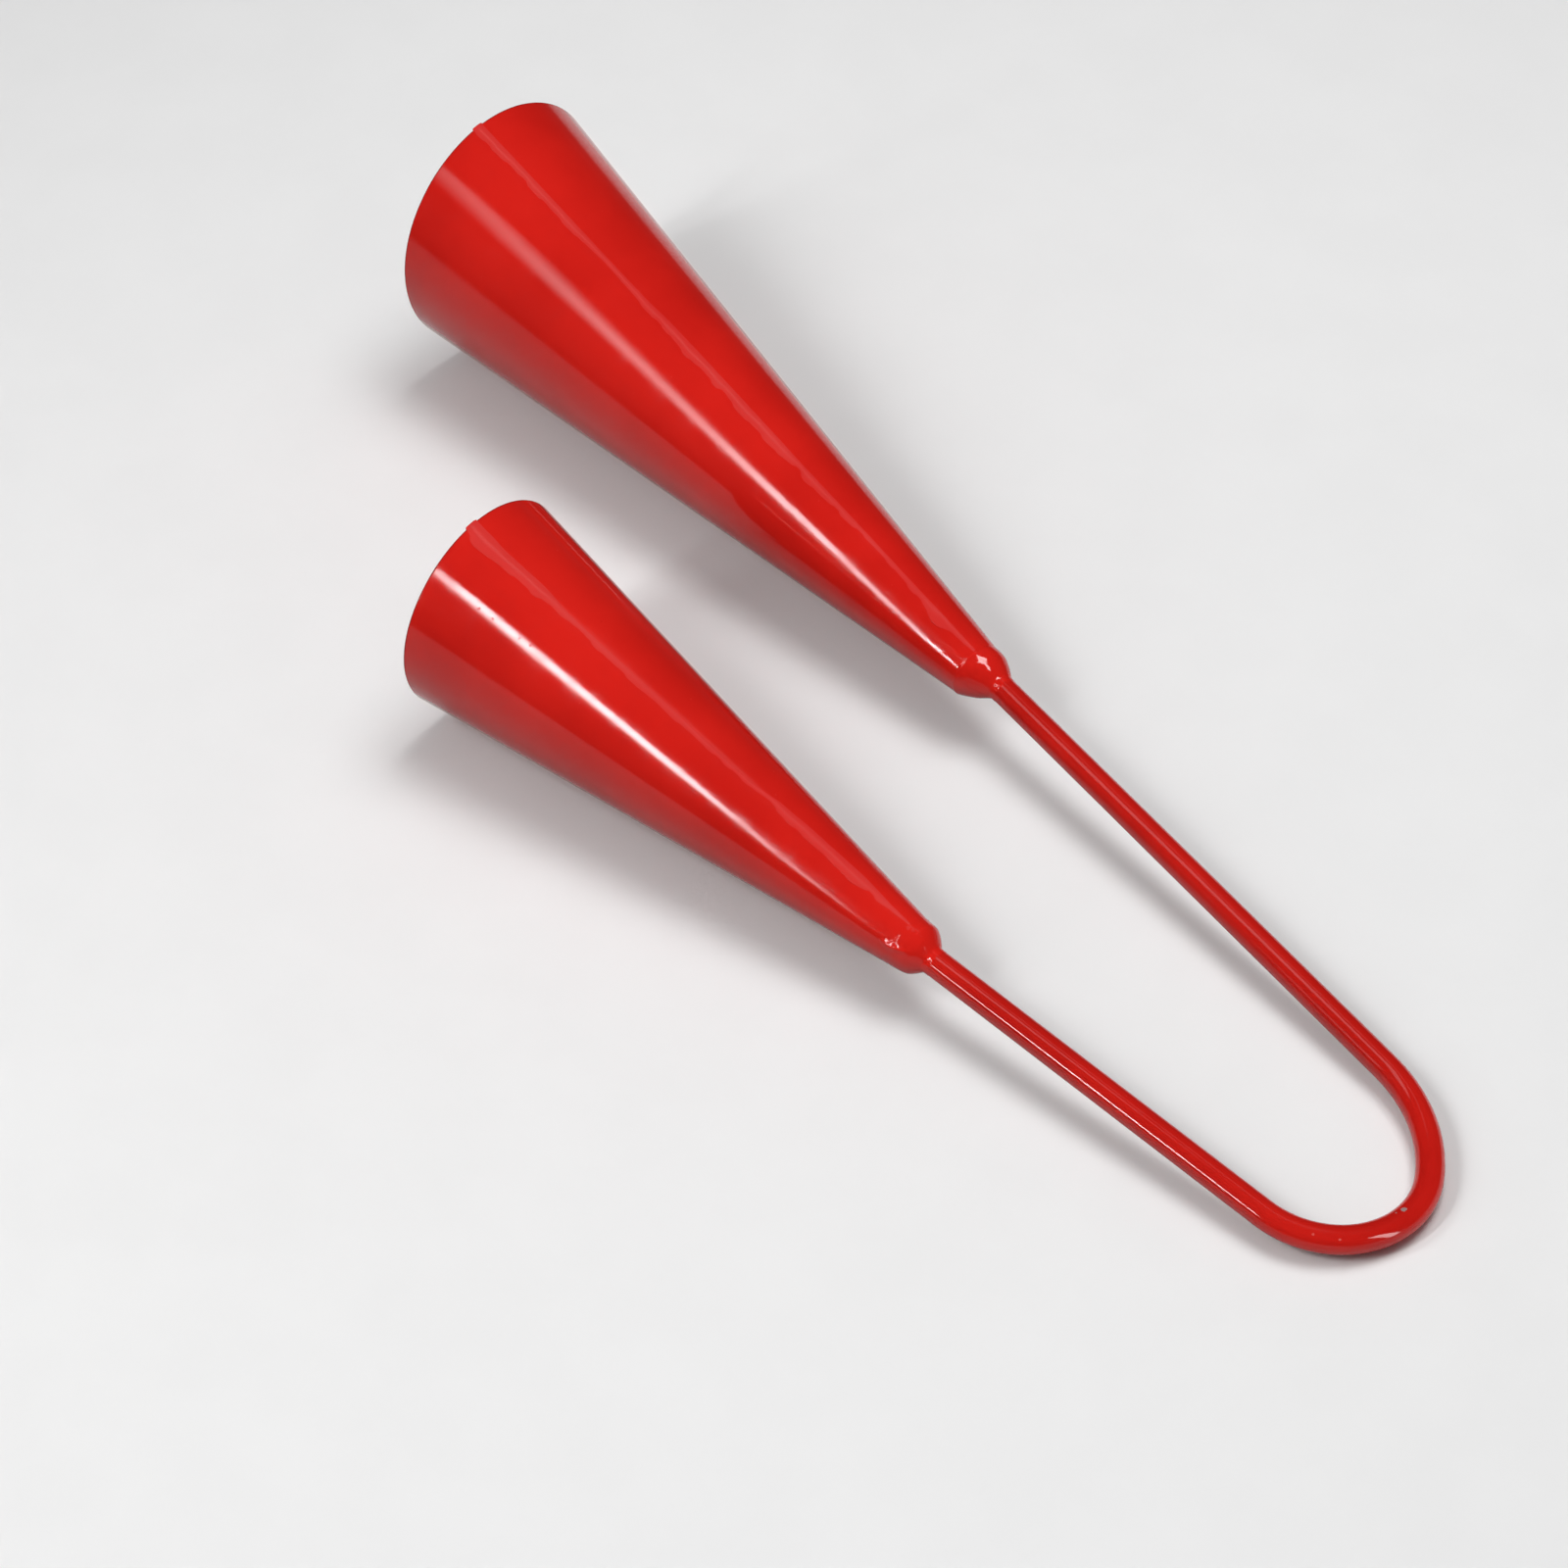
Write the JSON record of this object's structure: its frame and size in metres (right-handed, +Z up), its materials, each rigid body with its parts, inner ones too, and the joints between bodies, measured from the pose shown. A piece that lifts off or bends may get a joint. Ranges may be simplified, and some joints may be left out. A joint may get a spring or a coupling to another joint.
{
  "type": "agogo bell",
  "caption": "Hand percussion instrument: rolled sheet-steel cone bells of different pitch, welded to a bent rod handle and painted red.",
  "frame": {"origin": "centre of the bounding box's underside, on the surface the bell lies on", "axes": "+X along the handle from its bend towards the bells' mouths, +Y from the large bell to the small bell, +Z up"},
  "size_m": [0.2258, 0.09, 0.0393],
  "materials": {
    "red_paint_handle": "gloss red paint on a round steel rod",
    "red_paint_bell": "gloss red paint on sheet steel",
    "red_paint_seam": "gloss red paint on a seam weld dressed flat",
    "red_paint_weld": "gloss red paint on an uneven weld bead"
  },
  "bodies": {
    "root": {"handle_rod": "red_paint_handle", "large_bell": "red_paint_bell", "large_bell_seam": "red_paint_seam", "large_bell_weld": "red_paint_weld", "small_bell": "red_paint_bell", "small_bell_seam": "red_paint_seam", "small_bell_weld": "red_paint_weld"}
  },
  "joints": []
}
